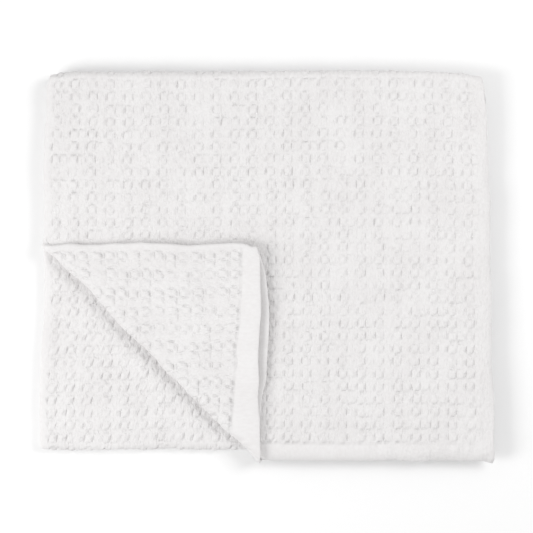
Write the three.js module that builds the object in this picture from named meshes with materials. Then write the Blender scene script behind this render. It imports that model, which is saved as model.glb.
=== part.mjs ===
import * as THREE from 'three';

// A puckered cotton quilt, folded in half across, then in thirds along, with one corner of
// the top pair of layers turned back over itself. Millimetres, +Z up. The finished pile lies
// on z = 0 and is centred on x = 0, y = 0, with its folded side edge at -X, the fold between
// the upper two thirds at +Y, and the open end hem of the top third at -Y.
//
// The cloth is first described as a flat folded pair: u runs across the cloth from the hem of
// the upper layer (negative) round the side fold at 0 to the hem of the under layer (positive),
// and v runs along the cloth from the end hem that lies on top. A point of the pair has an
// inward distance p from the side fold, a length v, and a height h over the pair's middle.

// Flat cloth
const flatWidth = 1300;
const flatLength = 1640;
const clothThickness = 4.2;
const hemThickness = 2.6;
const sideHem = 14;
const endHem = 23;
const seamStep = 3;

// Puffs, in columns that run along the cloth
const columnCount = 24;
const columnPitch = 26.1;
const columnWidth = 12.6;
const rowPitch = 18.3;
const puffHeight = 1.7;
const grooveDepth = 0.5;
// Where no puff can be seen, the mesh keeps one column edge and one row in this many
const coarseStep = 4;

// Side fold of the pair
const layerGap = 1;
const sideSteps = 4;
const sideRadius = (clothThickness + layerGap) / 2;
const sideTurn = Math.PI * sideRadius / 2;
const pairThickness = 2 * clothThickness + layerGap;
const halfWidth = flatWidth / 2;

// Folds in thirds
const pairGap = 1.4;
const pairPitch = pairThickness + pairGap;
const thirdRadius = pairPitch / 2;
const thirdTurn = Math.PI * thirdRadius;
const thirdSteps = 6;
const firstFold = 556;
const secondFoldUp = 24;
const secondFold = firstFold + thirdTurn + firstFold - secondFoldUp;
const topMiddle = pairThickness / 2 + 2 * pairPitch;

// Turned-back corner: it lies between the side fold, the end hem and a crease at 45 degrees
const cornerReach = 313;
const creaseRadius = 5.6;
const creaseTurn = Math.PI * creaseRadius;
const creaseSteps = 4;
const creaseSnap = 0.4;
const creaseStart = (cornerReach + creaseTurn / Math.SQRT2) / Math.SQRT2;
const tipLift = 9;
const liftRise = 1.15;
const openMargin = 14;
// Finer lines where the crease runs out at the end hem, from the corner's reach
const creaseEndLines = [-20, -15, -10, -5, 0, 5];

// End hem of the turned-back corner: the hem under it peeks out, and it gapes over that one
const hemPeek = 13.5;
const hemGape = 5;
const peekSpan = 265;
const peekFade = 70;

// End hem and side hem bend down over the edges of the layers below
const endBendStart = 15;
const endBendRadius = 13;
const endBendSteps = 3;
const sideBendStart = halfWidth - 19;
const sideBendRadius = 32;
const sideBendFade = 150;
const middleBendShare = 0.5;
const setBack = 8;
const setBackStart = 430;

// How each edge of the pile strays from straight, seen from above
const edges = {
  left: [
    { at: 20, outward: 8 },
    { at: 70, outward: 8 },
    { at: 165, outward: 5 },
    { at: 215, outward: 1 },
    { at: 400, outward: 0 },
    { at: 566, outward: -4 },
  ],
  right: [
    { at: 0, outward: 0 },
    { at: 190, outward: -3 },
    { at: 380, outward: -6 },
    { at: 566, outward: -13 },
  ],
  bottom: [
    { at: 0, outward: -3.5 },
    { at: 220, outward: -5.5 },
    { at: 440, outward: -3 },
    { at: 650, outward: -3.5 },
  ],
  top: [
    { at: 0, outward: -2 },
    { at: 210, outward: 0 },
    { at: 430, outward: 2 },
    { at: 650, outward: -1 },
  ],
};

// Soft rises and dips in the height of the pile, as a share of the height
const lump = { acrossLength: 520, alongLength: 610, share: 0.018, phase: 0.9 };

const smooth = (t) => THREE.MathUtils.smoothstep(t, 0, 1);

function stray(edge, at) {
  const last = edge.length - 1;
  if (at <= edge[0].at) return edge[0].outward;
  if (at >= edge[last].at) return edge[last].outward;
  const next = edge.findIndex((row) => row.at > at);
  const from = edge[next - 1];
  const to = edge[next];
  const share = smooth((at - from.at) / (to.at - from.at));
  return from.outward + (to.outward - from.outward) * share;
}

// Lines across the cloth: signed distances u of the points in a row. Every row has the coarse
// lines, and the edges of the puff columns are added where the puffs can be seen.
function columnEdges(column) {
  const centre = (column + 0.5) * columnPitch + sideTurn;
  return [centre - columnWidth / 2, centre + columnWidth / 2];
}

function acrossLines() {
  const lines = [];
  for (let step = 0; step <= sideSteps; step += 1) {
    lines.push({ u: (2 * step / sideSteps - 1) * sideTurn, coarse: true });
  }
  for (const side of [-1, 1]) {
    for (let column = 0; column < columnCount; column += 1) {
      const [near, far] = columnEdges(column);
      const coarse = column % coarseStep === coarseStep - 1;
      lines.push({ u: side * near, coarse, column });
      lines.push({ u: side * far, coarse: false, column });
    }
    lines.push({ u: side * (halfWidth - sideHem), coarse: true });
    lines.push({ u: side * halfWidth, coarse: true });
    for (const offset of creaseEndLines) {
      lines.push({ u: side * (cornerReach + offset), coarse: false, creaseEnd: true });
    }
  }
  return lines.sort((a, b) => a.u - b.u);
}

// Lines along the cloth: each row's distance v from the end hem on top
function turnRows(start, length) {
  const rows = [];
  for (let step = 0; step <= thirdSteps; step += 1) {
    rows.push(start + (step / thirdSteps) * length);
  }
  return rows;
}

function alongRows(puffed) {
  const rows = [endHem, endHem + seamStep];
  for (let step = 0; step <= endBendSteps; step += 1) rows.push((step / endBendSteps) * endBendStart);
  rows.push(...turnRows(firstFold, thirdTurn), ...turnRows(secondFold, thirdTurn));
  rows.push(flatLength - endHem - seamStep, flatLength - endHem, flatLength);
  const puffStart = endHem + seamStep;
  const rowCount = Math.floor((flatLength - 2 * puffStart) / rowPitch);
  const clear = rowPitch / 3;
  for (let row = 1; row < rowCount; row += 1) {
    const v = puffStart + row * rowPitch;
    const middleUp = 2 * firstFold + thirdTurn - v;
    const shown = v < firstFold || (v < secondFold && middleUp < cornerReach);
    const inTurn = [firstFold, secondFold].some((start) => (
      v > start - clear && v < start + thirdTurn + clear));
    const wanted = row === 1 || row % coarseStep === 0 || (puffed && shown);
    if (wanted && !inTurn) rows.push(v);
  }
  return rows.sort((a, b) => a - b);
}

// Whether the outer face of the cloth can be seen at u, v with the corner turned back
function inSight(u, v) {
  const inward = Math.abs(u);
  if (v < firstFold) {
    const pastCorner = Math.max(inward, v) > cornerReach + openMargin;
    const onCorner = inward + v < cornerReach - openMargin;
    return u < 0 ? pastCorner : onCorner;
  }
  const up = 2 * firstFold + thirdTurn - v;
  return u > 0 && v > firstFold + thirdTurn && v < secondFold && inward + up < cornerReach - openMargin;
}

// Where the crease runs out over the bent end hem, both faces need finer lines
function atCreaseEnd(u, v) {
  const inward = Math.abs(u);
  const near = cornerReach - endBendStart - columnPitch;
  return v < 2 * endBendStart && inward > near && inward < cornerReach + columnPitch;
}

function thicknessAt(u, v) {
  const edge = 0.01;
  const inSideHem = Math.abs(u) > halfWidth - sideHem - edge;
  const inEndHem = v < endHem + edge || v > flatLength - endHem - edge;
  return inSideHem || inEndHem ? hemThickness : clothThickness;
}

// A point of the flat folded pair, at a height over the middle of its own layer
function pairPoint(u, v, over) {
  const span = THREE.MathUtils.clamp(Math.abs(u) / peekSpan, 0, 1);
  const nearHem = Math.sin(Math.PI * span) * (1 - smooth(v / peekFade));
  const along = u < 0 ? v - hemPeek * nearHem : v;
  const gape = u > 0 ? hemGape * nearHem : 0;
  if (Math.abs(u) >= sideTurn) {
    const inward = sideRadius + Math.abs(u) - sideTurn;
    return [inward, along, -Math.sign(u) * (sideRadius + over) - gape];
  }
  const angle = u / sideRadius;
  const radius = sideRadius + over;
  return [sideRadius - radius * Math.cos(angle), along, -radius * Math.sin(angle) - gape];
}

// Mesh of the flat folded pair: an outer face, an inner face and the rims between them
const points = [];
let faces = [];

function addPoint(point) {
  points.push(point);
  return points.length - 1;
}

function faceRows(outer, lines, rows) {
  return rows.map((v) => {
    const nearby = [v - rowPitch, v, v + rowPitch].filter((row) => (
      v > endHem && (row > firstFold) === (v > firstFold) && (row > secondFold) === (v > secondFold)));
    const shown = (line) => nearby.some((row) => inSight(line.u, row));
    const kept = lines.filter((line) => (
      line.coarse || (outer && !line.creaseEnd && shown(line)) || atCreaseEnd(line.u, v)));
    return kept.map((line) => {
      const half = thicknessAt(line.u, v) / 2;
      const sunk = outer && line.column !== undefined && inSight(line.u, v) ? grooveDepth : 0;
      const over = outer ? half - sunk : -half;
      return { at: line.u, column: line.column, v, index: addPoint(pairPoint(line.u, v, over)) };
    });
  });
}

function addTriangle(a, b, c, flip) {
  faces.push(flip ? [a, b, c] : [a, c, b]);
}

function isPuff(a, b) {
  const middle = (a.at + b.at) / 2;
  return a.v > endHem && a.column !== undefined && a.column === b.column && inSight(middle, a.v);
}

// Joins two neighbouring rows of points that may differ in number
function zip(lower, upper, flip, puffed) {
  let i = 0;
  let j = 0;
  while (i < lower.length - 1 || j < upper.length - 1) {
    const nextLow = i < lower.length - 1 ? lower[i + 1].at : Infinity;
    const nextUp = j < upper.length - 1 ? upper[j + 1].at : Infinity;
    const square = nextLow === nextUp && lower[i].at === upper[j].at;
    const wholeRow = upper[j].v - lower[i].v > rowPitch / 2;
    if (square && puffed && wholeRow && isPuff(lower[i], lower[i + 1])) {
      const u = (lower[i].at + lower[i + 1].at) / 2;
      const v = (lower[i].v + upper[j].v) / 2;
      const top = addPoint(pairPoint(u, v, clothThickness / 2 + puffHeight));
      addTriangle(lower[i].index, lower[i + 1].index, top, flip);
      addTriangle(lower[i + 1].index, upper[j + 1].index, top, flip);
      addTriangle(upper[j + 1].index, upper[j].index, top, flip);
      addTriangle(upper[j].index, lower[i].index, top, flip);
      i += 1;
      j += 1;
    } else if (nextLow <= nextUp) {
      addTriangle(lower[i].index, lower[i + 1].index, upper[j].index, flip);
      i += 1;
    } else {
      addTriangle(lower[i].index, upper[j + 1].index, upper[j].index, flip);
      j += 1;
    }
  }
}

function edgeOf(rows, end) {
  return rows.map((row) => {
    const point = end === 'first' ? row[0] : row[row.length - 1];
    return { at: point.v, v: point.v, index: point.index };
  });
}

function buildPair() {
  const lines = acrossLines();
  const outer = faceRows(true, lines, alongRows(true));
  const inner = faceRows(false, lines, alongRows(false));
  for (let row = 1; row < outer.length; row += 1) zip(outer[row - 1], outer[row], false, true);
  for (let row = 1; row < inner.length; row += 1) zip(inner[row - 1], inner[row], true, false);
  zip(edgeOf(outer, 'first'), edgeOf(inner, 'first'), false, false);
  zip(edgeOf(outer, 'last'), edgeOf(inner, 'last'), true, false);
  zip(outer[0], inner[0], true, false);
  zip(outer[outer.length - 1], inner[inner.length - 1], false, false);
}

// Cuts every face along a crease line p + v = sum, so that the crease can bend there
function cutAlong(sum) {
  const cutPoints = new Map();
  const side = (index) => points[index][0] + points[index][1] - sum;
  const cutPoint = (a, b) => {
    const [from, to] = a < b ? [a, b] : [b, a];
    const key = `${from},${to}`;
    if (!cutPoints.has(key)) {
      const share = side(from) / (side(from) - side(to));
      const between = points[from].map((value, axis) => value + (points[to][axis] - value) * share);
      cutPoints.set(key, addPoint(between));
    }
    return cutPoints.get(key);
  };
  const onLine = (index) => Math.abs(side(index)) < creaseSnap;
  faces = faces.flatMap((face) => {
    const near = [];
    const far = [];
    face.forEach((index, corner) => {
      const next = face[(corner + 1) % face.length];
      const isNear = side(index) < 0;
      if (isNear || onLine(index)) near.push(index);
      if (!isNear || onLine(index)) far.push(index);
      if (isNear !== side(next) < 0 && !onLine(index) && !onLine(next)) {
        const cut = cutPoint(index, next);
        near.push(cut);
        far.push(cut);
      }
    });
    return [near, far].filter((part) => part.some((index) => !onLine(index)));
  });
}

function fan(face) {
  return face.slice(2).flatMap((index, corner) => [face[0], face[corner + 1], index]);
}

// Folding, one step after another
function turnCorner([p, v, h]) {
  const across = (p + v) / Math.SQRT2;
  const along = (v - p) / Math.SQRT2;
  if (across >= creaseStart) return [p, v, h];
  const turned = Math.min((creaseStart - across) / creaseRadius, Math.PI);
  const radius = creaseRadius - h;
  const past = Math.max(creaseStart - creaseTurn - across, 0);
  const lift = tipLift * (past / (cornerReach / Math.SQRT2)) ** liftRise;
  const newAcross = creaseStart - radius * Math.sin(turned) + past;
  const height = creaseRadius - radius * Math.cos(turned) + lift;
  return [(newAcross - along) / Math.SQRT2, (newAcross + along) / Math.SQRT2, height];
}

function bendEnd([p, v, h]) {
  if (v >= endBendStart) return [p, v, h];
  const angle = (endBendStart - v) / endBendRadius;
  const radius = endBendRadius + h;
  return [p, endBendStart - radius * Math.sin(angle), radius * Math.cos(angle) - endBendRadius];
}

function bendSide([p, v, h]) {
  const rise = (start) => smooth((v - start) / sideBendFade);
  const top = rise(0) - rise(firstFold - sideBendFade);
  const middle = rise(firstFold + thirdTurn) - rise(secondFold - sideBendFade);
  const share = top - middleBendShare * middle;
  if (p <= sideBendStart || Math.abs(share) < 1e-3) return [p, v, h];
  const radius = sideBendRadius / share;
  const angle = (p - sideBendStart) / radius;
  return [sideBendStart + (radius + h) * Math.sin(angle), v, (radius + h) * Math.cos(angle) - radius];
}

function foldInThirds([p, v, h]) {
  if (v <= firstFold) return [p, v, topMiddle + h];
  if (v <= firstFold + thirdTurn) {
    const angle = (v - firstFold) / thirdRadius;
    const radius = thirdRadius + h;
    return [p, firstFold + radius * Math.sin(angle), topMiddle - thirdRadius + radius * Math.cos(angle)];
  }
  const middleUp = 2 * firstFold + thirdTurn - v;
  if (v <= secondFold) return [p, middleUp, topMiddle - pairPitch - h];
  if (v <= secondFold + thirdTurn) {
    const angle = (v - secondFold) / thirdRadius;
    const radius = thirdRadius - h;
    const centre = topMiddle - pairPitch - thirdRadius;
    return [p, secondFoldUp - radius * Math.sin(angle), centre + radius * Math.cos(angle)];
  }
  return [p, secondFoldUp + v - secondFold - thirdTurn, topMiddle - 2 * pairPitch + h];
}

function settle([x, y, z]) {
  const height = topMiddle + pairThickness / 2;
  const nearSide = smooth((x - setBackStart) / (halfWidth - setBackStart));
  const back = setBack * Math.max(1 - z / height, 0) * nearSide;
  const acrossShare = THREE.MathUtils.clamp(x / halfWidth, 0, 1);
  const alongShare = THREE.MathUtils.clamp(y / firstFold, 0, 1);
  const shiftX = stray(edges.right, y) * acrossShare - stray(edges.left, y) * (1 - acrossShare);
  const shiftY = stray(edges.top, x) * alongShare - stray(edges.bottom, x) * (1 - alongShare);
  const wave = Math.sin((2 * Math.PI * x) / lump.acrossLength + lump.phase)
    * Math.cos((2 * Math.PI * y) / lump.alongLength - lump.phase);
  return [x - back + shiftX, y + shiftY, z * (1 + lump.share * wave)];
}

function foldedPoint(point) {
  return settle(foldInThirds(bendSide(bendEnd(turnCorner(point)))));
}

function quiltGeometry() {
  buildPair();
  for (let step = 0; step <= creaseSteps; step += 1) {
    cutAlong((creaseStart - (step / creaseSteps) * creaseTurn) * Math.SQRT2);
  }
  const positions = new Float32Array(points.flatMap(foldedPoint));
  const geometry = new THREE.BufferGeometry();
  geometry.setAttribute('position', new THREE.BufferAttribute(positions, 3));
  geometry.setIndex(faces.flatMap(fan));
  geometry.computeBoundingBox();
  const centre = geometry.boundingBox.getCenter(new THREE.Vector3());
  geometry.translate(-centre.x, -centre.y, -geometry.boundingBox.min.z);
  geometry.computeVertexNormals();
  return geometry;
}

const cotton = new THREE.MeshStandardMaterial({ color: 0xf1efed, roughness: 0.95, metalness: 0 });
const quilt = new THREE.Mesh(quiltGeometry(), cotton);
quilt.name = 'quilt';

const foldedQuilt = new THREE.Group();
foldedQuilt.add(quilt);

export default foldedQuilt;
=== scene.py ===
"""A puckered cotton quilt, folded in half across and in thirds along, with one corner of the top
pair of layers turned back over itself. The cloth is first made as a flat folded pair, with its
puffs, creases and hems in its own sizes, and is then folded as it lies."""

import math
from types import SimpleNamespace

import bmesh
import bpy
import numpy as np
from bpy.props import FloatProperty, FloatVectorProperty, IntProperty, PointerProperty
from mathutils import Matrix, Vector


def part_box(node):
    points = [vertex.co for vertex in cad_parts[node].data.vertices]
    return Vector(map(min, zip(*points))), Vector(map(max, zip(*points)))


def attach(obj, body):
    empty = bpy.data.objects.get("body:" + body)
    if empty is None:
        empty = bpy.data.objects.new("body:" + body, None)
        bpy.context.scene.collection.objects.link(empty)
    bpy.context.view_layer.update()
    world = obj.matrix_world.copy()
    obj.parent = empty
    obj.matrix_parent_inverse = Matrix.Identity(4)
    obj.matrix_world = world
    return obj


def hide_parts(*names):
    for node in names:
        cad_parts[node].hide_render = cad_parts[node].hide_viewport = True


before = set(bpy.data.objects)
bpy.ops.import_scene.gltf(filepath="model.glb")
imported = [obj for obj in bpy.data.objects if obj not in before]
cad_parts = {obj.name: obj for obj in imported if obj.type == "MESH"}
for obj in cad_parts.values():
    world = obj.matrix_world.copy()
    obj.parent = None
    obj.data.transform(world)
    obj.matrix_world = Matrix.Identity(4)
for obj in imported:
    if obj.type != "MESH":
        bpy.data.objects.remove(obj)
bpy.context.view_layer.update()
QUILT_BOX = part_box("quilt")

bl_info = {
    "name": "Folded Quilt",
    "version": (1, 0, 0),
    "blender": (4, 5, 0),
    "location": "View3D > Sidebar > Quilt",
    "description": "Makes a puckered cotton quilt, folded into a pile with one corner turned back",
    "category": "Add Mesh",
}

PIECE_NAME = "quilt_cloth"
UV_NAME = "cloth_plan"
PUCKER_NAME = "pucker"
MM = 0.001


class ClothSizes(bpy.types.PropertyGroup):
    """The flat cloth and its hems."""

    width: FloatProperty(name="Width", description="Flat width, hem to hem", default=1.3, unit="LENGTH")
    length: FloatProperty(name="Length", description="Flat length, hem to hem", default=1.64, unit="LENGTH")
    thickness: FloatProperty(
        name="Thickness", description="Thickness of the puffed cloth", default=0.0042, unit="LENGTH"
    )
    hem_thickness: FloatProperty(
        name="Hem thickness", description="Thickness of the pressed hems", default=0.0031, unit="LENGTH"
    )
    side_hem: FloatProperty(
        name="Side hem", description="Depth of the hems along the sides", default=0.014, unit="LENGTH"
    )
    end_hem: FloatProperty(
        name="End hem", description="Depth of the hems at the two ends", default=0.023, unit="LENGTH"
    )
    seam_depth: FloatProperty(
        name="Seam depth", description="How deep the hem stitching draws in", default=0.0006, unit="LENGTH"
    )


class PuffSizes(bpy.types.PropertyGroup):
    """The puffs, in columns that run along the cloth."""

    columns: IntProperty(name="Columns", description="Columns of puffs in each half of the width", default=24)
    column_pitch: FloatProperty(
        name="Column pitch", description="From one column to the next", default=0.0261, unit="LENGTH"
    )
    row_pitch: FloatProperty(
        name="Row pitch", description="From one puff of a column to the next", default=0.0183, unit="LENGTH"
    )
    half_width: FloatProperty(
        name="Half width", description="From a puff's middle to the crease at its side", default=0.006,
        unit="LENGTH"
    )
    half_length: FloatProperty(
        name="Half length", description="From a puff's middle to the crease at its end", default=0.007,
        unit="LENGTH"
    )
    height: FloatProperty(
        name="Height", description="How far a full puff stands over the plain strips", default=0.0014,
        unit="LENGTH"
    )
    crease_depth: FloatProperty(
        name="Crease depth", description="How deep the crease round a puff is", default=0.0017, unit="LENGTH"
    )
    crease_width: FloatProperty(
        name="Crease width", description="How wide the crease round a puff is", default=0.00045, unit="LENGTH"
    )
    sideways_drift: FloatProperty(
        name="Sideways drift", description="How far a crease strays sideways", default=0.0015, unit="LENGTH"
    )
    endways_drift: FloatProperty(
        name="Endways drift", description="How far a crease strays along the cloth", default=0.0012,
        unit="LENGTH"
    )
    crinkle: FloatProperty(
        name="Crinkle", description="Height of the small crinkles between the puffs", default=0.00035,
        unit="LENGTH"
    )


class FoldSizes(bpy.types.PropertyGroup):
    """How the cloth is folded and laid."""

    layer_gap: FloatProperty(
        name="Layer gap", description="Between the two layers of the folded pair", default=0.001,
        unit="LENGTH"
    )
    pair_gap: FloatProperty(
        name="Pair gap", description="Between one pair of layers and the next", default=0.0014,
        unit="LENGTH"
    )
    first_fold: FloatProperty(
        name="First fold", description="From the upper end hem to the fold at the back", default=0.556,
        unit="LENGTH"
    )
    second_fold_up: FloatProperty(
        name="Second fold inset", description="How far the lower fold stays behind the end hem",
        default=0.024, unit="LENGTH"
    )
    corner_reach: FloatProperty(
        name="Corner reach", description="From the corner to where its crease meets each edge",
        default=0.313, unit="LENGTH"
    )
    crease_radius: FloatProperty(
        name="Crease radius", description="Radius that the turned-back corner bends at", default=0.0056,
        unit="LENGTH"
    )
    crease_stray: FloatProperty(
        name="Crease stray", description="How far the crease of the corner strays from straight",
        default=0.0022, unit="LENGTH"
    )
    tip_lift: FloatProperty(
        name="Tip lift", description="How far the turned-back tip springs up", default=0.009, unit="LENGTH"
    )
    hem_peek: FloatProperty(
        name="Hem peek", description="How far the hem under the turned-back one shows", default=0.0135,
        unit="LENGTH"
    )
    hem_gape: FloatProperty(
        name="Hem gape", description="How far the turned-back hem stands off the one under it",
        default=0.005, unit="LENGTH"
    )


class CottonFinish(bpy.types.PropertyGroup):
    """The washed cotton."""

    colour: FloatVectorProperty(
        name="Colour", description="Colour of the cotton", default=(0.80, 0.788, 0.786), subtype="COLOR"
    )
    shade_colour: FloatVectorProperty(
        name="Shade colour", description="Colour of its slightly darker patches",
        default=(0.765, 0.748, 0.746), subtype="COLOR"
    )
    roughness: FloatProperty(name="Roughness", description="Roughness of the cotton", default=0.95)
    sheen: FloatProperty(name="Sheen", description="Weight of the soft fibre sheen", default=0.12)
    thread_pitch: FloatProperty(
        name="Thread pitch", description="From one thread to the next", default=0.0007, unit="LENGTH"
    )
    thread_depth: FloatProperty(
        name="Thread depth", description="Depth between two threads", default=0.00006, unit="LENGTH"
    )
    crinkle_depth: FloatProperty(
        name="Fine crinkle depth", description="Depth of the finest crinkles", default=0.0022,
        unit="LENGTH"
    )


class StageSizes(bpy.types.PropertyGroup):
    """The floor, the lights and the camera."""

    floor_size: FloatProperty(name="Floor size", description="Side of the floor", default=12.0, unit="LENGTH")
    floor_colour: FloatVectorProperty(
        name="Floor colour", description="Colour of the floor", default=(0.92, 0.92, 0.92), subtype="COLOR"
    )
    left_power: FloatProperty(
        name="Left light", description="Power of the soft light at the left", default=21.5, unit="POWER"
    )
    right_power: FloatProperty(
        name="Right light", description="Power of the soft light at the right", default=16.5, unit="POWER"
    )
    light_size: FloatProperty(
        name="Light size", description="Side of each soft light", default=1.0, unit="LENGTH"
    )
    sky_strength: FloatProperty(
        name="Even light", description="Strength of the even light from all round", default=0.6
    )
    view_width: FloatProperty(
        name="View width", description="Width that the camera takes in at the pile's top", default=0.762,
        unit="LENGTH"
    )
    camera_height: FloatProperty(
        name="Camera height", description="Height of the camera over the floor", default=2.5, unit="LENGTH"
    )


# How each edge of the pile strays from straight, seen from above: (distance along it, outward), mm
EDGE_LEFT = ((20, 8), (70, 8), (165, 5), (215, 1), (400, 0), (566, -4))
EDGE_RIGHT = ((0, 0), (190, -3), (380, -6), (566, -13))
EDGE_BOTTOM = ((0, -3.5), (220, -5.5), (440, -3), (650, -3.5))
EDGE_TOP = ((0, 0.5), (210, 0), (430, 2), (650, -1))

# Small pulls on the pile's outline: (place, reach, shift), mm from the front left corner
PULLS = (
    ((0, 570), 20, (4.5, -4.5)),
    ((645, 572), 24, (-6.0, -4.0)),
    ((640, 523), 13, (-2.5, 0.0)),
    ((652, 0), 14, (0.5, -3.0)),
    ((0, 312), 12, (-3.0, 0.0)),
    ((0, 0), 16, (3.0, 2.0)),
    ((308, 311), 11, (-5.0, -5.0)),
)

# Bends of the hems over the edges of the layers below, mm
END_BEND_START = 15
END_BEND_RADIUS = 13
SIDE_BEND_INSET = 19
SIDE_BEND_RADIUS = 32
SIDE_BEND_FADE = 150
# How much the side hems of the middle bend up, next to those of the top, and the least bend made
MIDDLE_BEND_SHARE = 0.5
LEAST_BEND = 1e-3

# How far the lowest layers lie back at their side hems, and where that starts, mm
SET_BACK = 8
SET_BACK_START = 430

# Over what width and depth the hem under the turned-back one shows, mm
PEEK_SPAN = 265
PEEK_FADE = 70
# How much wider the turned-back hem gets towards the crease, how far off the puffs give way, mm, and
# the most of that widening
HEM_WIDENING = 12
HEM_WIDENING_FADE = 110
WIDENING_LIMIT = 1.1
# How late the turned-back corner rises towards its tip: 1 is evenly, and more is later
LIFT_RISE = 1.15

# Soft rises and dips in the height of the pile, mm, and their share of the height
LUMP_ACROSS = 520
LUMP_ALONG = 610
LUMP_SHARE = 0.018
LUMP_PHASE = 0.9
CRUMPLE_HEIGHT = 0.7
CRUMPLE_SIZE = 62
CRUMPLE_SEED = 43
# Small waves of the pile's edges, mm
EDGE_WAVE = 1.2
EDGE_WAVE_LENGTH = 30
EDGE_WAVE_RISE = 9
EDGE_WAVE_SEEDS = (41, 42)

# Seeds of what each puff has by chance, with one for each side, each end or each way it leans
FULLNESS_SEED = 1
SIDE_SEEDS = (2, 3)
END_SEEDS = (4, 5)
LEAN_SEEDS = (6, 7)
# How square a puff's outline is: 2 is an oval, and more is squarer
SQUARENESS = 3.2
# How flat a puff's top is, and how much it leans across and along the cloth
DOME_FLATNESS = 3
LEAN_ACROSS = 0.7
LEAN_ALONG = 0.5
# How full a puff is, at the least and by chance
LEAST_FULLNESS = 0.3
FULLNESS_RANGE = 0.9
# How sharp a crease is: the least, by chance, and the most
LEAST_SHARPNESS = 0.1
SHARPNESS_RANGE = 1.25
MOST_SHARPNESS = 1.15
# How whole a crease is before it is broken up on its way
CREASE_WHOLENESS = 0.85
# Creases that cross a plain strip: how deep they are next to those round a puff, how far out they
# start, in half widths of a puff, and how sharp the puff's end has to be for one
CROSSING_SHARE = 0.6
CROSSING_START = 1.1
CROSSING_RISE = 2
CROSSING_LOSS = 0.9
# How deep the creases of the under layer are, next to those of the upper one
UNDER_LAYER_DEPTH = 1.2
# How far the puffs of the middle layers slant, mm
SLANT = 0.9
# How far the puffs of the pile's underside are pressed in
PRESSED_SHARE = 0.6

# Where the puffs start past the hems' seams, and where they are full, mm
PUFFS_PAST_SIDE_HEM = (2, 5)
PUFFS_PAST_END_HEM = (2, 4)
# How even the stitching of a seam is, how much it waves, and the length of the waves, mm
SEAM_EVENNESS = 0.45
SEAM_WAVE = 0.55
SEAM_WAVE_LENGTH = 9
SEAM_WAVE_SEED = 9
# How deep the upper layer's seams are next to the under layer's, and what ruffles take of them
UPPER_SEAM_SHARE = 0.6
RUFFLED_SEAM_LOSS = 0.7
# Where the end hem on top starts to ruffle and where it is fully ruffled, mm from the side fold,
# and how puckered it is there
HEM_RUFFLE_START = 420
HEM_RUFFLE_END = 540
RUFFLE_PUCKER = 0.9

# Short tucks beside the crease of the corner, in the layer under it, mm, and how distinct they are
TUCK_PLACE = 6
TUCK_REACH = 7
TUCK_PITCH = 9
TUCK_DEPTH = 1.7
TUCK_CONTRAST = 0.9
TUCK_SEED = 51

# Uneven patterns: (share, size across, size along, seed) of each drift in one, with sizes in mm
CREASE_BREAKS = ((0.45, 7.5, 7.5, 10),)
CRINKLES = ((0.6, 5.2, 11, 11), (0.4, 3.1, 4.5, 12))
HEM_CRINKLES = ((0.8, 16, 16, 13),)
HEM_RUFFLES = ((3.6, 8.5, 20, 14),)
SIDEWAYS_DRIFTS = ((0.65, 11.5, 19, 21), (0.5, 60, 50, 22))
ENDWAYS_DRIFTS = ((0.7, 17, 12.5, 23), (0.4, 60, 60, 24))
CORNER_CREASE_DRIFTS = ((1, 34, 34, 31), (0.5, 14, 14, 32))
# How far from the side fold, the side hem and the end hem the puffs drift in full, mm
DRIFT_PAST_SIDE_FOLD = 8
DRIFT_PAST_SIDE_HEM = 20
DRIFT_PAST_END_HEM = 26
# How far before the corner's crease the cloth strays along with it in full, mm
CREASE_STRAY_FADE = 60

# Where the cloth in the open turns into hidden cloth, mm before and past each edge
UNDER_CORNER_MARGINS = (3, 12)
BACK_FOLD_MARGINS = (-6, 0)
CORNER_MARGINS = (-8, 6)
MIDDLE_MARGINS = (-10, 3)
FRONT_MARGINS = (0, 16)
FRONT_FOLD_MARGINS = (7, -2)
UNDERSIDE_MARGINS = (-6, 4)
# How far the fine mesh reaches past those edges, mm
FINE_MARGIN = 16
FINE_PAST_CORNER = 25
FINE_BEFORE_MIDDLE = 30

# Places of the soft lights, in metres
LEFT_LIGHT = (-1.6, -0.52, 1.41)
RIGHT_LIGHT = (1.3, 0.6, 1.6)

# Whole numbers that mix two places and a seed into a chance
MIX_FIRST = 374761393
MIX_SECOND = 668265263
MIX_SEED = 974634777
MIX_LAST = 1274126177
MIX_MASK = 0xFFFFFFFF
MIX_SHIFT = 13
LAST_SHIFT = 16
CHANCE_MASK = 0xFFFF

# Lines of the mesh, mm from a puff's middle, across and along the cloth
FINE_LINES = (-6.6, -6.0, -5.4, -1.9, 1.9, 5.4, 6.0, 6.6, 13.0)
FINE_ROWS = (-7.0, -6.4, -2.2, 2.2, 6.4, 7.0, 9.15)
LOW_LINES = (-6.0, 0.0, 6.0)
LOW_ROWS = (-7.0, 0.0, 7.0)
# Rows of an end hem: mm from its edge, shares of its depth, and mm on either side of its seam
HEM_EDGE = (0.0, 0.5, 1.5)
HEM_SHARES = (0.3, 0.55, 0.8)
SEAM_SIDE = 0.8
# How far past a seam the cloth has its full thickness, mm, and how thick a hem's edge is at least
SEAM_STEP = 3
EDGE_SHARE = 0.4
# Steps round each fold, how near rows may come to a fold, and how near to a crease points snap, mm
SIDE_FOLD_STEPS = 8
THIRD_STEPS = 12
CREASE_STEPS = 7
CLEAR_OF_FOLD = 1.2
CREASE_SNAP = 0.2
# Lengths are the same within this, in metres, and steps within that share of one
SAME_LENGTH = 1e-6
SAME_STEP = 1e-3
LENGTH_DIGITS = 7
HIDDEN, LOW, FINE = 0, 1, 2

# Clouds in the cotton: (size across, size along, detail, roughness), with sizes in metres
PATCH_CLOUD = (0.05, 0.07, 3.0, 0.55)
SPECK_CLOUD = (0.004, 0.006, 2.0, 0.5)
LONG_CRINKLE_CLOUD = (0.0034, 0.0095, 2.0, 0.55)
CROSS_CRINKLE_CLOUD = (0.0056, 0.0036, 2.0, 0.55)
# The clouds' values at which the cotton has its shade colour and its colour
SHADE_VALUES = (0.36, 0.62)
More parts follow.
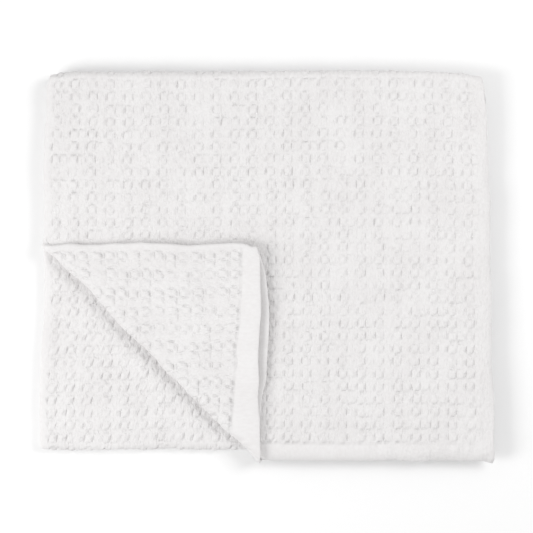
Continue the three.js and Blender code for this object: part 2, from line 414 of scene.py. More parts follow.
# How much of the fine crinkles runs along the cloth, and how much of them plain cloth keeps
LONG_CRINKLE_SHARE = 0.65
PLAIN_CRINKLE_SHARE = 0.2
# How much the threads waver, and how finely
THREAD_WAVER = 1.2
THREAD_WAVER_SCALE = 0.3


def smooth(t):
    """Rises softly from 0 at t = 0 to 1 at t = 1."""
    t = np.clip(t, 0.0, 1.0)
    return t * t * (3 - 2 * t)


def between(value, start, end):
    """0 before start, 1 past end, and a soft rise between them."""
    return smooth((value - start) / (end - start))


def chance(first, second, seed):
    """A repeatable number from 0 to 1 for each pair of whole numbers."""
    mixed = first.astype(np.int64) * MIX_FIRST + second.astype(np.int64) * MIX_SECOND
    mixed = (mixed + seed * MIX_SEED) & MIX_MASK
    mixed = ((mixed ^ (mixed >> MIX_SHIFT)) * MIX_LAST) & MIX_MASK
    mixed = mixed ^ (mixed >> LAST_SHIFT)
    return (mixed & CHANCE_MASK) / CHANCE_MASK


def drift(x, y, seed):
    """Smooth uneven values from -1 to 1 over a plane, about one rise or dip for each unit."""
    low_x, low_y = np.floor(x), np.floor(y)
    share_x, share_y = smooth(x - low_x), smooth(y - low_y)
    corners = [[chance(low_x + i, low_y + j, seed) for i in (0, 1)] for j in (0, 1)]
    lower, upper = [row[0] + (row[1] - row[0]) * share_x for row in corners]
    return 2 * (lower + (upper - lower) * share_y) - 1


def uneven(x, y, pattern):
    """The drifts of an uneven pattern over the cloth, added up by their shares."""
    return sum(
        share * drift(x / (across * MM), y / (along * MM), seed)
        for share, across, along, seed in pattern
    )


def past(value, edge, margins):
    """0 before an edge and 1 past it, with a soft rise between its margins."""
    return between(value, edge + margins[0] * MM, edge + margins[1] * MM)


def stray(edge, at):
    """How far an edge strays outward at a distance along it, in metres."""
    places, outward = np.array(edge, float).T * MM
    step = np.clip(np.searchsorted(places, at, side="right"), 1, len(places) - 1)
    share = smooth((at - places[step - 1]) / (places[step] - places[step - 1]))
    return outward[step - 1] + (outward[step] - outward[step - 1]) * share


def fold_plan(cloth, folds):
    """The sizes that follow from the cloth and its folds, in metres."""
    plan = SimpleNamespace()
    plan.half_width = cloth.width / 2
    plan.length = cloth.length
    plan.side_radius = (cloth.thickness + folds.layer_gap) / 2
    plan.side_turn = math.pi * plan.side_radius / 2
    pair_thickness = 2 * cloth.thickness + folds.layer_gap
    plan.pair_pitch = pair_thickness + folds.pair_gap
    plan.third_radius = plan.pair_pitch / 2
    plan.third_turn = math.pi * plan.third_radius
    plan.first_fold = folds.first_fold
    plan.first_end = plan.first_fold + plan.third_turn
    plan.second_fold_up = folds.second_fold_up
    plan.second_fold = plan.first_end + plan.first_fold - plan.second_fold_up
    plan.second_end = plan.second_fold + plan.third_turn
    plan.top_middle = pair_thickness / 2 + 2 * plan.pair_pitch
    plan.height = plan.top_middle + pair_thickness / 2
    plan.corner_reach = folds.corner_reach
    plan.crease_radius = folds.crease_radius
    plan.crease_turn = math.pi * folds.crease_radius
    plan.crease_start = (folds.corner_reach + plan.crease_turn / math.sqrt(2)) / math.sqrt(2)
    plan.crease_stray = folds.crease_stray
    plan.tip_lift = folds.tip_lift
    plan.hem_peek = folds.hem_peek
    plan.hem_gape = folds.hem_gape
    plan.puff_start = cloth.end_hem + SEAM_STEP * MM
    return plan


def open_share(u, v, plan):
    """How far, from 0 to 1, the outer face of the cloth lies in the open."""
    inward = np.abs(u)
    reach = plan.corner_reach
    up = plan.first_end + plan.first_fold - v
    upper = past(np.maximum(inward, v), reach, UNDER_CORNER_MARGINS)
    upper = upper * (1 - past(v, plan.first_end, BACK_FOLD_MARGINS))
    corner = 1 - past(inward + v, reach, CORNER_MARGINS)
    middle = 1 - past(inward + up, reach, MIDDLE_MARGINS)
    middle = middle * (v > plan.first_end)
    front = 1 - past(inward, reach, FRONT_MARGINS)
    fold_start = plan.second_fold + FRONT_FOLD_MARGINS[0] * MM
    fold_end = plan.second_end + FRONT_FOLD_MARGINS[1] * MM
    front = front * (1 - between(v, fold_start, fold_end))
    middle = np.where(v > plan.second_fold, front, middle)
    return np.where(u < 0, upper, np.where(v < plan.first_fold, corner, middle))


def under_share(u, v, plan):
    """How far, from 0 to 1, the outer face of the cloth is the pile's underside."""
    return np.where(u > 0, past(v, plan.second_end, UNDERSIDE_MARGINS), 0.0)


def detail_level(u, v, plan):
    """How fine the mesh of the outer face is at each place."""
    margin = FINE_MARGIN * MM
    inward = np.abs(u)
    reach = plan.corner_reach
    up = plan.first_end + plan.first_fold - v
    on_top = (u < 0) & (np.maximum(inward, v) > reach - margin / 4) & (v < plan.first_end + MM)
    on_corner = (u > 0) & (v < plan.first_fold) & (inward + v < reach + 1.5 * margin)
    on_middle = in_middle(u, v, plan) & (inward + up < reach + margin / 2)
    on_front = (u > 0) & (v >= plan.second_fold) & (v < plan.second_end)
    on_front = on_front & (inward < reach + margin)
    under = (u > 0) & (v >= plan.second_end - MM)
    fine = on_top | on_corner | on_middle | on_front
    return np.where(fine, FINE, np.where(under, LOW, HIDDEN))


def across_lines(cloth, puffs, plan):
    """Distances across one half of the cloth from the side fold, and the detail that each needs."""
    lines = {}
    for column in range(puffs.columns):
        centre = (column + 0.5) * puffs.column_pitch + plan.side_turn
        for offset in FINE_LINES:
            lines[round(centre + offset * MM, LENGTH_DIGITS)] = FINE
        for offset in LOW_LINES:
            lines[round(centre + offset * MM, LENGTH_DIGITS)] = LOW
        lines[round(centre + LOW_LINES[0] * MM, LENGTH_DIGITS)] = HIDDEN
    seam = plan.half_width - cloth.side_hem
    last = seam - SEAM_SIDE * MM
    lines = {at: level for at, level in lines.items() if at < last - MM}
    for at in (last, seam + SEAM_SIDE * MM, plan.half_width - cloth.side_hem / 2):
        lines[at] = FINE
    lines[seam] = HIDDEN
    for inset in HEM_EDGE:
        lines[plan.half_width - inset * MM] = HIDDEN
    at = np.array(sorted(lines))
    return at, np.array([lines[value] for value in at])


def hem_rows(cloth):
    """Rows of the mesh over an end hem, as distances from the cloth's end."""
    seam = cloth.end_hem
    edge = [inset * MM for inset in HEM_EDGE]
    plain = [seam * share for share in HEM_SHARES]
    return edge + plain + [seam - SEAM_SIDE * MM, seam, seam + SEAM_SIDE * MM]


def pattern_rows(start, end, offsets, puffs, plan):
    """Rows that follow the puffs between two distances along the cloth."""
    count = int(plan.length / puffs.row_pitch)
    middles = plan.puff_start + (np.arange(count) + 0.5) * puffs.row_pitch
    rows = (middles[:, None] + np.array(offsets) * MM).ravel()
    return rows[(rows > start) & (rows < end)]


def along_rows(cloth, puffs, plan, fine_spans, low_spans, plain_step):
    """All rows of one face, from the upper end hem to the lower one."""
    hems = np.array(hem_rows(cloth))
    clear = CLEAR_OF_FOLD * MM
    turns = np.arange(THIRD_STEPS + 1) / THIRD_STEPS * plan.third_turn
    rows = [hems, plan.length - hems, plan.first_fold + turns, plan.second_fold + turns]
    inner_start, inner_end = plan.puff_start, plan.length - plan.puff_start
    spans = [(start, end, FINE_ROWS) for start, end in fine_spans]
    spans += [(start, end, LOW_ROWS) for start, end in low_spans]
    plain = np.arange(inner_start + plain_step, inner_end, plain_step)
    for start, end, offsets in spans:
        rows.append(pattern_rows(max(start, inner_start), min(end, inner_end), offsets, puffs, plan))
        plain = plain[(plain < start) | (plain > end)]
    rows.append(plain)
    rows = np.unique(np.round(np.concatenate(rows), LENGTH_DIGITS))
    turning = [(plan.first_fold, plan.first_end), (plan.second_fold, plan.second_end)]
    for start, end in turning:
        beside = (np.abs(rows - start) < clear) | (np.abs(rows - end) < clear)
        kept = (np.abs(rows - start) < SAME_LENGTH) | (np.abs(rows - end) < SAME_LENGTH)
        inside = (rows > start) & (rows < end)
        step = (rows - start) / plan.third_turn * THIRD_STEPS
        steps = np.abs(step % 1 - 0.5) > 0.5 - SAME_STEP
        rows = rows[np.where(inside, steps, ~beside | kept)]
    return rows


class FlatMesh:
    """The mesh of the flat cloth: places on it, which face each is on, and triangles."""

    def __init__(self):
        self.u, self.v, self.side = [], [], []
        self.triangles = []

    def add_row(self, across, v, side):
        """Adds a row of points and returns it as (positions along the row, indices)."""
        first = len(self.u)
        self.u.extend(across.tolist())
        self.v.extend([v] * len(across))
        self.side.extend([side] * len(across))
        return across, np.arange(first, first + len(across))

    def join(self, low, high, flip):
        """Joins two rows of points that may differ in number."""
        low_at, low_index = [values.tolist() for values in low]
        high_at, high_index = [values.tolist() for values in high]
        low_at.append(math.inf)
        high_at.append(math.inf)
        i = j = 0
        while i < len(low_index) - 1 or j < len(high_index) - 1:
            on_low = low_at[i + 1] <= high_at[j + 1]
            ahead = low_index[i + 1] if on_low else high_index[j + 1]
            triangle = (low_index[i], ahead, high_index[j])
            self.triangles.append(triangle if flip else triangle[::-1])
            if on_low:
                i += 1
            else:
                j += 1


def side_column(rows, heights, end):
    """The first or last points of all rows, as a row of their own along the cloth."""
    return np.array(heights), np.array([index[end] for _, index in rows])


def face_patch(mesh, across, levels, heights, side, needed):
    """One patch of a face: a row of points for each height, joined to the one before."""
    rows = []
    for v in heights:
        kept = levels <= needed(across, np.full(across.shape, v))
        rows.append(mesh.add_row(across[kept], v, side))
    for low, high in zip(rows, rows[1:]):
        mesh.join(low, high, flip=side < 0)
    return rows


def flat_cloth(cloth, puffs, plan):
    """Makes the outer and inner face of the cloth and the rims between them."""
    mesh = FlatMesh()
    half, half_levels = across_lines(cloth, puffs, plan)
    turn = (np.arange(SIDE_FOLD_STEPS + 1) / SIDE_FOLD_STEPS * 2 - 1) * plan.side_turn
    left = np.concatenate([-half[::-1], turn])
    left_levels = np.concatenate([half_levels[::-1], np.zeros(len(turn), int)])
    reach = plan.corner_reach
    middle_start = plan.first_end + plan.first_fold - reach - FINE_BEFORE_MIDDLE * MM
    left_rows = along_rows(cloth, puffs, plan, [(0, plan.first_fold)], [], puffs.row_pitch)
    fine_spans = [(0, reach + FINE_PAST_CORNER * MM), (middle_start, plan.second_fold)]
    low_spans = [(plan.second_end, plan.length)]
    right_rows = along_rows(cloth, puffs, plan, fine_spans, low_spans, puffs.row_pitch)

    def outer_detail(u, v):
        return detail_level(u, v, plan)

    def inner_detail(u, v):
        return np.zeros(u.shape, int)

    outer_left = face_patch(mesh, left, left_levels, left_rows, 1, outer_detail)
    outer_right = face_patch(mesh, half, half_levels, right_rows, 1, outer_detail)
    whole = np.concatenate([left, half])
    whole_levels = np.concatenate([left_levels, half_levels])
    inner_rows = along_rows(cloth, puffs, plan, [], [], 2 * puffs.row_pitch)
    inner = face_patch(mesh, whole, whole_levels, inner_rows, -1, inner_detail)

    mesh.join(side_column(outer_left, left_rows, -1), side_column(outer_right, right_rows, 0), flip=True)
    mesh.join(side_column(outer_left, left_rows, 0), side_column(inner, inner_rows, 0), flip=True)
    mesh.join(side_column(outer_right, right_rows, -1), side_column(inner, inner_rows, -1), flip=False)
    for end, flip in ((0, True), (-1, False)):
        left_end, right_end = outer_left[end], outer_right[end]
        outer_end = [np.concatenate(pair) for pair in zip(left_end, right_end)]
        mesh.join(outer_end, inner[end], flip)
    return mesh


def from_edge(u, v, plan):
    """How far a place is from the nearest side edge and from the nearest end."""
    return plan.half_width - np.abs(u), np.minimum(v, plan.length - v)


def half_thickness(u, v, cloth, plan):
    """Half the cloth's thickness, thin at the hems and rounded at their edges."""
    side, end = from_edge(u, v, plan)
    step = SEAM_STEP * MM
    puffed = smooth((side - cloth.side_hem) / step) * smooth((end - cloth.end_hem) / step)
    half = (cloth.hem_thickness + (cloth.thickness - cloth.hem_thickness) * puffed) / 2
    share = np.clip(np.minimum(side, end) / half, 0, 1)
    return half * np.maximum(np.sqrt(1 - (1 - share) ** 2), EDGE_SHARE)


def puff_relief(u, v, cloth, puffs, plan):
    """Height of the puffs, creases and crinkles over the outer face, and how puckered it is."""
    side, end = from_edge(u, v, plan)
    inward = np.abs(u) - plan.side_turn
    column = np.floor(inward / puffs.column_pitch)
    row = np.floor((v - plan.puff_start) / puffs.row_pitch)
    x = inward - (column + 0.5) * puffs.column_pitch
    y = v - plan.puff_start - (row + 0.5) * puffs.row_pitch
    key = column * np.sign(u)

    def luck(seed):
        return chance(key, row, seed)

    across, along = x / puffs.half_width, y / puffs.half_length
    outward = (np.abs(across) ** SQUARENESS + np.abs(along) ** SQUARENESS) ** (1 / SQUARENESS)
    lean = 1 + LEAN_ACROSS * (luck(LEAN_SEEDS[0]) - 0.5) * across
    lean = lean + LEAN_ALONG * (luck(LEAN_SEEDS[1]) - 0.5) * along
    dome = np.clip(1 - outward ** DOME_FLATNESS, 0, 1) * lean
    fullness = LEAST_FULLNESS + FULLNESS_RANGE * luck(FULLNESS_SEED)
    sideways = across ** 2 / np.maximum(across ** 2 + along ** 2, 1e-6)
    side_crease = np.where(x < 0, *map(luck, SIDE_SEEDS))
    end_crease = np.where(y < 0, *map(luck, END_SEEDS))
    broken = CREASE_WHOLENESS + uneven(u, v, CREASE_BREAKS)
    sharpness = side_crease * sideways + end_crease * (1 - sideways)
    sharpness = SHARPNESS_RANGE * sharpness + LEAST_SHARPNESS
    sharpness = np.clip(sharpness, 0, MOST_SHARPNESS) * broken
    distance = (outward - 1) * (puffs.half_width * sideways + puffs.half_length * (1 - sideways))
    folded = np.exp(-(distance / puffs.crease_width) ** 2) * sharpness
    crossing = np.exp(-((np.abs(y) - puffs.half_length) / puffs.crease_width) ** 2)
    crossing = crossing * (np.abs(across) > CROSSING_START)
    crossing = crossing * np.clip(CROSSING_RISE * end_crease - CROSSING_LOSS, 0, 1)
    folded = folded + CROSSING_SHARE * crossing
    puffed = past(side, cloth.side_hem, PUFFS_PAST_SIDE_HEM)
    puffed = puffed * past(end, cloth.end_hem, PUFFS_PAST_END_HEM)
    puffed = puffed * (inward > 0)
    raised = open_share(u, v, plan)
    sunk = under_share(u, v, plan) * PRESSED_SHARE
    shown = np.maximum(raised, sunk)
    height = puffs.height * fullness * dome * (raised + sunk) - puffs.height * sunk
    deeper = np.where(u > 0, UNDER_LAYER_DEPTH, 1.0)
    height = puffed * (height - puffs.crease_depth * deeper * folded * shown)
    height = height - beside_crease(u, v, plan) * puffed

    ruffled = (u < 0) * between(np.abs(u), HEM_RUFFLE_START * MM, HEM_RUFFLE_END * MM)
    end_wave = np.cos(x / puffs.column_pitch * 2 * math.pi)
    side_wave = drift(v / (SEAM_WAVE_LENGTH * MM), u, SEAM_WAVE_SEED)
    seam_wave = SEAM_EVENNESS + SEAM_WAVE * np.where(end < side, end_wave, side_wave)
    seam_gap = np.minimum(np.abs(end - cloth.end_hem), np.abs(side - cloth.side_hem))
    seam_share = shown * (1 - RUFFLED_SEAM_LOSS * ruffled) * np.where(u < 0, UPPER_SEAM_SHARE, 1.0)
    height = height - cloth.seam_depth * seam_wave * np.exp(-(seam_gap / MM) ** 2) * seam_share

    hem_crinkle = uneven(u, v, HEM_CRINKLES) + ruffled * uneven(u, v, HEM_RUFFLES)
    crinkle = np.where(puffed > 0.5, uneven(u, v, CRINKLES), hem_crinkle)
    height = height + puffs.crinkle * crinkle * shown
    return height, np.maximum(puffed, RUFFLE_PUCKER * ruffled)


def in_middle(u, v, plan):
    """Whether a place is on the middle third's upper face."""
    return (u > 0) & (v > plan.first_end) & (v < plan.second_fold)


def beside_crease(u, v, plan):
    """Depth of the short tucks that the layer under the corner's crease has beside it."""
    up = plan.first_end + plan.first_fold - v
    away = (plan.corner_reach - u - up) / math.sqrt(2)
    near = np.exp(-((away - TUCK_PLACE * MM) / (TUCK_REACH * MM)) ** 2)
    tuck = drift((u - up) / (TUCK_PITCH * MM), np.zeros_like(u), TUCK_SEED)
    depth = TUCK_DEPTH * MM * near * smooth(0.5 + TUCK_CONTRAST * tuck)
    return depth * in_middle(u, v, plan)


def uneven_place(u, v, cloth, puffs, plan):
    """Moves places on the cloth a little, so that columns wander and puffs differ in shape. The end
    hem of the turned-back corner widens towards its crease."""
    side, end = from_edge(u, v, plan)
    shown = np.maximum(open_share(u, v, plan), under_share(u, v, plan))
    free = between(np.abs(u) - plan.side_turn, 0.0, DRIFT_PAST_SIDE_FOLD * MM)
    free = free * between(side, 0.0, DRIFT_PAST_SIDE_HEM * MM)
    end_free = between(end, 0.0, DRIFT_PAST_END_HEM * MM)
    new_u = u + puffs.sideways_drift * uneven(u, v, SIDEWAYS_DRIFTS) * free * shown
    new_v = v + puffs.endways_drift * uneven(u, v, ENDWAYS_DRIFTS) * end_free * shown
    widening = HEM_WIDENING * MM * np.clip(u / (PEEK_SPAN * MM), 0, WIDENING_LIMIT)
    near_hem = between(v, 0.0, cloth.end_hem) * (1 - between(v, cloth.end_hem, HEM_WIDENING_FADE * MM))
    slant = SLANT * MM * np.sin(math.tau * (v - plan.puff_start - puffs.row_pitch / 2) / puffs.row_pitch)
    return new_u - slant * in_middle(u, v, plan) * free * shown, new_v + widening * near_hem


def pair_point(u, v, over, plan):
    """A place of the flat folded pair: inward from the side fold, along, and over its middle."""
    near_hem = np.sin(math.pi * np.clip(np.abs(u) / (PEEK_SPAN * MM), 0, 1))
    near_hem = near_hem * (1 - smooth(v / (PEEK_FADE * MM)))
    along = v - plan.hem_peek * near_hem * (u < 0)
    outside = np.abs(u) >= plan.side_turn
    angle = u / plan.side_radius
    radius = plan.side_radius + over
    past_fold = plan.side_radius + np.abs(u) - plan.side_turn
    inward = np.where(outside, past_fold, plan.side_radius - radius * np.cos(angle))
    height = np.where(outside, -np.sign(u) * radius, -radius * np.sin(angle))
    return inward, along, height - plan.hem_gape * near_hem * (u > 0)


def turn_corner(p, v, h, plan):
    """Turns the corner back over a crease at 45 degrees."""
    across, along = (p + v) / math.sqrt(2), (v - p) / math.sqrt(2)
    wander = uneven(along, np.zeros_like(along), CORNER_CREASE_DRIFTS)
    wander = wander * between(across, 0.0, plan.crease_start - CREASE_STRAY_FADE * MM)
    start = plan.crease_start + plan.crease_stray * wander
    turned = np.clip((start - across) / plan.crease_radius, 0, math.pi)
    radius = plan.crease_radius - h
    past = np.maximum(start - plan.crease_turn - across, 0)
    lift = plan.tip_lift * (past / (plan.corner_reach / math.sqrt(2))) ** LIFT_RISE
    new_across = start - radius * np.sin(turned) + past
    height = plan.crease_radius - radius * np.cos(turned) + lift
    flat = across >= start
    return (
        np.where(flat, p, (new_across - along) / math.sqrt(2)),
        np.where(flat, v, (new_across + along) / math.sqrt(2)),
        np.where(flat, h, height),
    )


def bend_end(p, v, h):
    """Bends the end hem down over the edge of the layers below."""
    start, bend = END_BEND_START * MM, END_BEND_RADIUS * MM
    angle = np.maximum(start - v, 0) / bend
    radius = bend + h
    bent = v < start
    new_v = np.where(bent, start - radius * np.sin(angle), v)
    return p, new_v, np.where(bent, radius * np.cos(angle) - bend, h)


def bend_side(p, v, h, plan):
    """Bends the side hems of the top down and those of the middle up, away from the corners."""
    start, fade = plan.half_width - SIDE_BEND_INSET * MM, SIDE_BEND_FADE * MM
    top = smooth(v / fade) - smooth((v - plan.first_fold + fade) / fade)
    middle = smooth((v - plan.first_end) / fade) - smooth((v - plan.second_fold + fade) / fade)
    share = top - MIDDLE_BEND_SHARE * middle
    bent = (p > start) & (np.abs(share) > LEAST_BEND)
    bend = SIDE_BEND_RADIUS * MM / np.where(bent, share, 1)
    angle = (p - start) / bend
    radius = bend + h
    new_p = np.where(bent, start + radius * np.sin(angle), p)
    return new_p, v, np.where(bent, radius * np.cos(angle) - bend, h)


def fold_in_thirds(p, v, h, plan):
    """Folds the pair back and forth into its three thirds."""
    first_angle = np.clip((v - plan.first_fold) / plan.third_radius, 0, math.pi)
    second_angle = np.clip((v - plan.second_fold) / plan.third_radius, 0, math.pi)
    outer, inner = plan.third_radius + h, plan.third_radius - h
    lower_centre = plan.top_middle - plan.pair_pitch - plan.third_radius
    top = (v, plan.top_middle + h)
    back_fold = (
        plan.first_fold + outer * np.sin(first_angle),
        plan.top_middle - plan.third_radius + outer * np.cos(first_angle),
    )
    middle = (plan.first_end + plan.first_fold - v, plan.top_middle - plan.pair_pitch - h)
    front_fold = (
        plan.second_fold_up - inner * np.sin(second_angle),
        lower_centre + inner * np.cos(second_angle),
    )
    bottom = (plan.second_fold_up + v - plan.second_end, plan.top_middle - 2 * plan.pair_pitch + h)
    ends = (plan.first_fold, plan.first_end, plan.second_fold, plan.second_end)
    where = [v <= end for end in ends]
    y, z = [
        np.select(where, parts[:-1], parts[-1]) for parts in zip(top, back_fold, middle, front_fold, bottom)
    ]
    return p, y, z


def settle(x, y, z, plan):
    """Sets the lower layers back, and gives the pile its uneven outline and height."""
    side_start = SET_BACK_START * MM
    near_side = smooth((x - side_start) / (plan.half_width - side_start))
    back = SET_BACK * MM * np.maximum(1 - z / plan.height, 0) * near_side
    across, along = np.clip(x / plan.half_width, 0, 1), np.clip(y / plan.first_fold, 0, 1)
    shift_x = stray(EDGE_RIGHT, y) * across - stray(EDGE_LEFT, y) * (1 - across)
    shift_y = stray(EDGE_TOP, x) * along - stray(EDGE_BOTTOM, x) * (1 - along)
    wave_size, wave_rise = EDGE_WAVE_LENGTH * MM, EDGE_WAVE_RISE * MM
    shift_x = shift_x + EDGE_WAVE * MM * drift(y / wave_size, z / wave_rise, EDGE_WAVE_SEEDS[0])
    shift_y = shift_y + EDGE_WAVE * MM * drift(x / wave_size, z / wave_rise, EDGE_WAVE_SEEDS[1])
    for (place_x, place_y), reach, (pull_x, pull_y) in PULLS:
        away = np.hypot(x - place_x * MM, y - place_y * MM) / (reach * MM)
        pull = np.exp(-away ** 2) * MM
        shift_x = shift_x + pull_x * pull
        shift_y = shift_y + pull_y * pull
    wave = np.sin(2 * math.pi * x / (LUMP_ACROSS * MM) + LUMP_PHASE)
    wave = wave * np.cos(2 * math.pi * y / (LUMP_ALONG * MM) - LUMP_PHASE)
    size = CRUMPLE_SIZE * MM
    crumple = CRUMPLE_HEIGHT * MM * drift(x / size, y / size, CRUMPLE_SEED) / plan.height
    return x - back + shift_x, y + shift_y, z * (1 + LUMP_SHARE * wave + crumple)


def folded_point(p, v, h, plan):
    """The place in the pile of a point of the flat folded pair."""
    p, v, h = turn_corner(p, v, h, plan)
    p, v, h = bend_end(p, v, h)
    p, v, h = bend_side(p, v, h, plan)
    return settle(*fold_in_thirds(p, v, h, plan), plan)


def cut_at_crease(flat, plan, cloth):
    """Cuts the flat mesh along the crease of the corner, so that it can bend there."""
    u, v, side = np.array(flat.u), np.array(flat.v), np.array(flat.side, float)
    over = side * half_thickness(u, v, cloth, plan)
    places = np.stack(pair_point(u, v, over, plan), axis=1)
    mesh = bpy.data.meshes.new(PIECE_NAME)
    mesh.from_pydata(places.tolist(), [], flat.triangles)
    for name, values in (("u", u), ("v", v), ("side", side)):
        mesh.attributes.new(name, "FLOAT", "POINT").data.foreach_set("value", values)
    shaped = bmesh.new()
    shaped.from_mesh(mesh)
    normal = Vector((1, 1, 0)).normalized()
    for step in range(CREASE_STEPS + 1):
        distance = plan.crease_start - plan.crease_turn * step / CREASE_STEPS
        parts = shaped.verts[:] + shaped.edges[:] + shaped.faces[:]
        bmesh.ops.bisect_plane(
            shaped, geom=parts, dist=CREASE_SNAP * MM, plane_co=normal * distance, plane_no=normal
        )
    bmesh.ops.triangulate(shaped, faces=[face for face in shaped.faces if len(face.verts) > 3])
    shaped.to_mesh(mesh)
    shaped.free()
    return mesh


def read_values(mesh, name):
    """One number for each point of a mesh."""
    values = np.empty(len(mesh.vertices), np.float32)
    mesh.attributes[name].data.foreach_get("value", values)
    return values.astype(float)


def cloth_mesh(cloth, puffs, folds):
    """The folded cloth's mesh, with its plan as a UV map and its puckering as an attribute."""
    plan = fold_plan(cloth, folds)
    mesh = cut_at_crease(flat_cloth(cloth, puffs, plan), plan, cloth)
    u, v, side = [read_values(mesh, name) for name in ("u", "v", "side")]
    outer = side > 0
    relief, puffed = puff_relief(u, v, cloth, puffs, plan)
    over = side * half_thickness(u, v, cloth, plan) + np.where(outer, relief, 0)
    moved_u, moved_v = uneven_place(u, v, cloth, puffs, plan)
    place_u, place_v = np.where(outer, moved_u, u), np.where(outer, moved_v, v)
    places = np.stack(folded_point(*pair_point(place_u, place_v, over, plan), plan), axis=1)
    places -= (places.max(axis=0) + places.min(axis=0)) / 2
    low, high = np.array(QUILT_BOX[0]), np.array(QUILT_BOX[1])
    places += (low + high) / 2
    places[:, 2] += low[2] - places[:, 2].min()
    mesh.vertices.foreach_set("co", places.astype(np.float32).ravel())
    for name in ("u", "v", "side"):
        mesh.attributes.remove(mesh.attributes[name])
    mesh.attributes.new(PUCKER_NAME, "FLOAT", "POINT").data.foreach_set("value", puffed.astype(np.float32))
    corner = np.empty(len(mesh.loops), np.int32)
    mesh.loops.foreach_get("vertex_index", corner)
    plan_map = np.stack([u, v], axis=1)[corner].astype(np.float32)
    mesh.uv_layers.new(name=UV_NAME).data.foreach_set("uv", plan_map.ravel())
    mesh.polygons.foreach_set("use_smooth", np.ones(len(mesh.polygons), bool))
    mesh.update()
    mesh.validate()
    return mesh


class NodePad:
    """Adds nodes to a material and links them."""

    def __init__(self, material):
        material.use_nodes = True
        self.tree = material.node_tree

    def add(self, kind, **values):
        """Adds a node, with values for its settings and then for its sockets."""
        node = self.tree.nodes.new(kind)
        for name, value in values.items():
            if hasattr(node, name):
                setattr(node, name, value)
            else:
                self.put(node.inputs[name.replace("_", " ")], value)
        return node

    def put(self, socket, value):
        """Links a socket to another one, or sets it."""
        if isinstance(value, bpy.types.NodeSocket):
            self.tree.links.new(value, socket)
        else:
            socket.default_value = value

    def math(self, operation, first, second=0.0):
        """The result of a sum on one or two values."""
        node = self.add("ShaderNodeMath", operation=operation)
        self.put(node.inputs[0], first)
        self.put(node.inputs[1], second)
        return node.outputs[0]

    def stretched(self, plan_map, across, along):
        """The cloth's plan in units of the given lengths across and along."""
        node = self.add("ShaderNodeMapping", Vector=plan_map)
        node.inputs["Scale"].default_value = (1 / across, 1 / along, 1)
        return node.outputs["Vector"]


def cotton(finish):
    """Washed off-white cotton: threads, fine crinkles where it is puckered, and soft patches."""
    material = bpy.data.materials.new("washed_cotton")
    pad = NodePad(material)
    shader = pad.tree.nodes["Principled BSDF"]
    plan_map = pad.add("ShaderNodeUVMap", uv_map=UV_NAME).outputs["UV"]
    pucker = pad.add("ShaderNodeAttribute", attribute_name=PUCKER_NAME).outputs["Fac"]

    def cloud(across, along, detail, roughness):
        places = pad.stretched(plan_map, across, along)
        node = pad.add("ShaderNodeTexNoise", noise_dimensions="2D", Vector=places, Scale=1.0)
        node.inputs["Detail"].default_value = detail
        node.inputs["Roughness"].default_value = roughness
        return node.outputs["Fac"]

    patches = cloud(*PATCH_CLOUD)
    specks = cloud(*SPECK_CLOUD)
    shade = pad.math("MULTIPLY", pad.math("ADD", patches, specks), 0.5)
    ramp = pad.add("ShaderNodeValToRGB", Fac=shade)
    colours = (finish.shade_colour, finish.colour)
    for stop, value, colour in zip(ramp.color_ramp.elements, SHADE_VALUES, colours):
        stop.position = value
        stop.color = (*colour, 1)
    pad.put(shader.inputs["Base Color"], ramp.outputs["Color"])

    def threads(direction):
        node = pad.add("ShaderNodeTexWave", wave_type="BANDS", bands_direction=direction)
        pad.put(node.inputs["Vector"], pad.stretched(plan_map, finish.thread_pitch, finish.thread_pitch))
        node.inputs["Scale"].default_value = 1 / math.tau
        node.inputs["Distortion"].default_value = THREAD_WAVER
        node.inputs["Detail Scale"].default_value = THREAD_WAVER_SCALE
        return node.outputs["Fac"]

    weave = pad.math("MULTIPLY", pad.math("MAXIMUM", threads("X"), threads("Y")), finish.thread_depth)
    long_crinkles = pad.math("MULTIPLY", cloud(*LONG_CRINKLE_CLOUD), LONG_CRINKLE_SHARE)
    cross_crinkles = pad.math("MULTIPLY", cloud(*CROSS_CRINKLE_CLOUD), 1 - LONG_CRINKLE_SHARE)
    crinkle = pad.math("ADD", long_crinkles, cross_crinkles)
    amount = pad.math("MULTIPLY", pucker, 1 - PLAIN_CRINKLE_SHARE)
    amount = pad.math("MULTIPLY", pad.math("ADD", amount, PLAIN_CRINKLE_SHARE), finish.crinkle_depth)
    height = pad.math("ADD", pad.math("MULTIPLY", crinkle, amount), weave)
    bump = pad.add("ShaderNodeBump", Height=height)
    bump.inputs["Strength"].default_value = 1.0
    bump.inputs["Distance"].default_value = 1.0
    pad.put(shader.inputs["Normal"], bump.outputs["Normal"])
    shader.inputs["Roughness"].default_value = finish.roughness
    shader.inputs["Specular IOR Level"].default_value = 0.25
    shader.inputs["Sheen Weight"].default_value = finish.sheen
    shader.inputs["Sheen Roughness"].default_value = 0.5
    return material


def pale_floor(colour):
    """A plain matt floor."""
    material = bpy.data.materials.new("pale_floor")
    pad = NodePad(material)
    shader = pad.tree.nodes["Principled BSDF"]
    shader.inputs["Base Color"].default_value = (*colour, 1)
    shader.inputs["Roughness"].default_value = 0.9
    shader.inputs["Specular IOR Level"].default_value = 0.1
    return material


def soft_light(name, place, size, power):
    """A square soft light that faces the pile."""
    data = bpy.data.lights.new(name, "AREA")
    data.size = size
    data.energy = power
    light = bpy.data.objects.new(name, data)
    light.location = place
    light.rotation_euler = (-Vector(place)).to_track_quat("-Z", "Y").to_euler()
    light.visible_camera = False
    bpy.context.collection.objects.link(light)


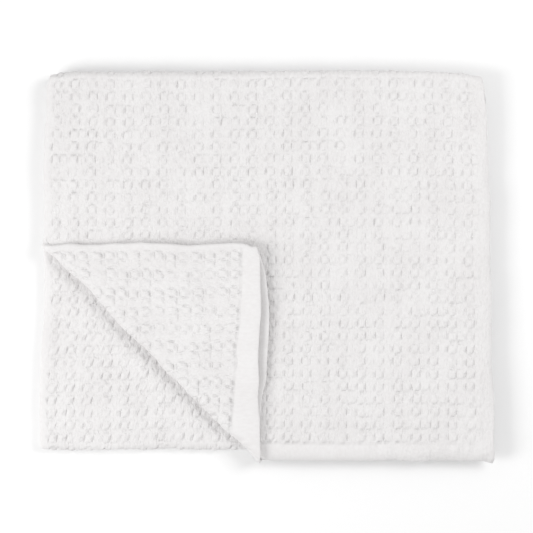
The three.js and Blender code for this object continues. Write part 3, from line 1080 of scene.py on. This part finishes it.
class QUILT_OT_make_cloth(bpy.types.Operator):
    """Makes the folded quilt, in place of its plain solid"""

    bl_idname = "quilt.make_cloth"
    bl_label = "Make the quilt"

    def execute(self, context):
        scene = context.scene
        mesh = cloth_mesh(scene.quilt_cloth, scene.quilt_puffs, scene.quilt_folds)
        if not mesh.polygons:
            raise RuntimeError("the cloth has no faces")
        piece = bpy.data.objects.new(PIECE_NAME, mesh)
        scene.collection.objects.link(piece)
        mesh.materials.append(cotton(scene.quilt_cotton))
        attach(piece, "root")
        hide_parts("quilt")
        return {"FINISHED"}


class QUILT_OT_make_stage(bpy.types.Operator):
    """Makes the floor, the soft light and the camera straight above"""

    bl_idname = "quilt.make_stage"
    bl_label = "Make the stage"

    def execute(self, context):
        scene = context.scene
        sizes = scene.quilt_stage
        bpy.ops.object.select_all(action="DESELECT")
        bpy.ops.mesh.primitive_plane_add(size=sizes.floor_size, location=(0, 0, 0))
        floor = context.object
        floor.name = "floor"
        floor.data.materials.append(pale_floor(sizes.floor_colour))
        soft_light("left_light", LEFT_LIGHT, sizes.light_size, sizes.left_power)
        soft_light("right_light", RIGHT_LIGHT, sizes.light_size, sizes.right_power)
        world = bpy.data.worlds.new("even_light")
        world.use_nodes = True
        sky = world.node_tree.nodes["Background"]
        sky.inputs["Color"].default_value = (1, 1, 1, 1)
        sky.inputs["Strength"].default_value = sizes.sky_strength
        scene.world = world
        scene.view_settings.view_transform = "Standard"
        data = bpy.data.cameras.new("camera")
        camera = bpy.data.objects.new("camera", data)
        camera.location = (0, 0, sizes.camera_height)
        distance = sizes.camera_height - (QUILT_BOX[1][2] - QUILT_BOX[0][2])
        data.lens = data.sensor_width * distance / sizes.view_width
        scene.collection.objects.link(camera)
        scene.camera = camera
        return {"FINISHED"}


class QUILT_PT_panel(bpy.types.Panel):
    """Lists what makes the quilt and its stage"""

    bl_label = "Folded Quilt"
    bl_idname = "QUILT_PT_panel"
    bl_space_type = "VIEW_3D"
    bl_region_type = "UI"
    bl_category = "Quilt"

    def draw(self, context):
        for kind in OPERATORS:
            self.layout.operator(kind.bl_idname)
        for name, group in GROUPS.items():
            box = self.layout.box()
            box.label(text=group.__doc__)
            settings = getattr(context.scene, name)
            for value in group.__annotations__:
                box.prop(settings, value)


GROUPS = {
    "quilt_cloth": ClothSizes,
    "quilt_puffs": PuffSizes,
    "quilt_folds": FoldSizes,
    "quilt_cotton": CottonFinish,
    "quilt_stage": StageSizes,
}
OPERATORS = (QUILT_OT_make_cloth, QUILT_OT_make_stage)


def register():
    """Registers the settings, the operators and the panel."""
    for name, group in GROUPS.items():
        bpy.utils.register_class(group)
        setattr(bpy.types.Scene, name, PointerProperty(type=group))
    for kind in (*OPERATORS, QUILT_PT_panel):
        bpy.utils.register_class(kind)


def unregister():
    """Takes them all away again."""
    for kind in (QUILT_PT_panel, *reversed(OPERATORS)):
        bpy.utils.unregister_class(kind)
    for name, group in reversed(GROUPS.items()):
        delattr(bpy.types.Scene, name)
        bpy.utils.unregister_class(group)


def main():
    """Makes the quilt and its stage."""
    register()
    bpy.ops.quilt.make_cloth()
    bpy.ops.quilt.make_stage()


if __name__ == "__main__":
    main()
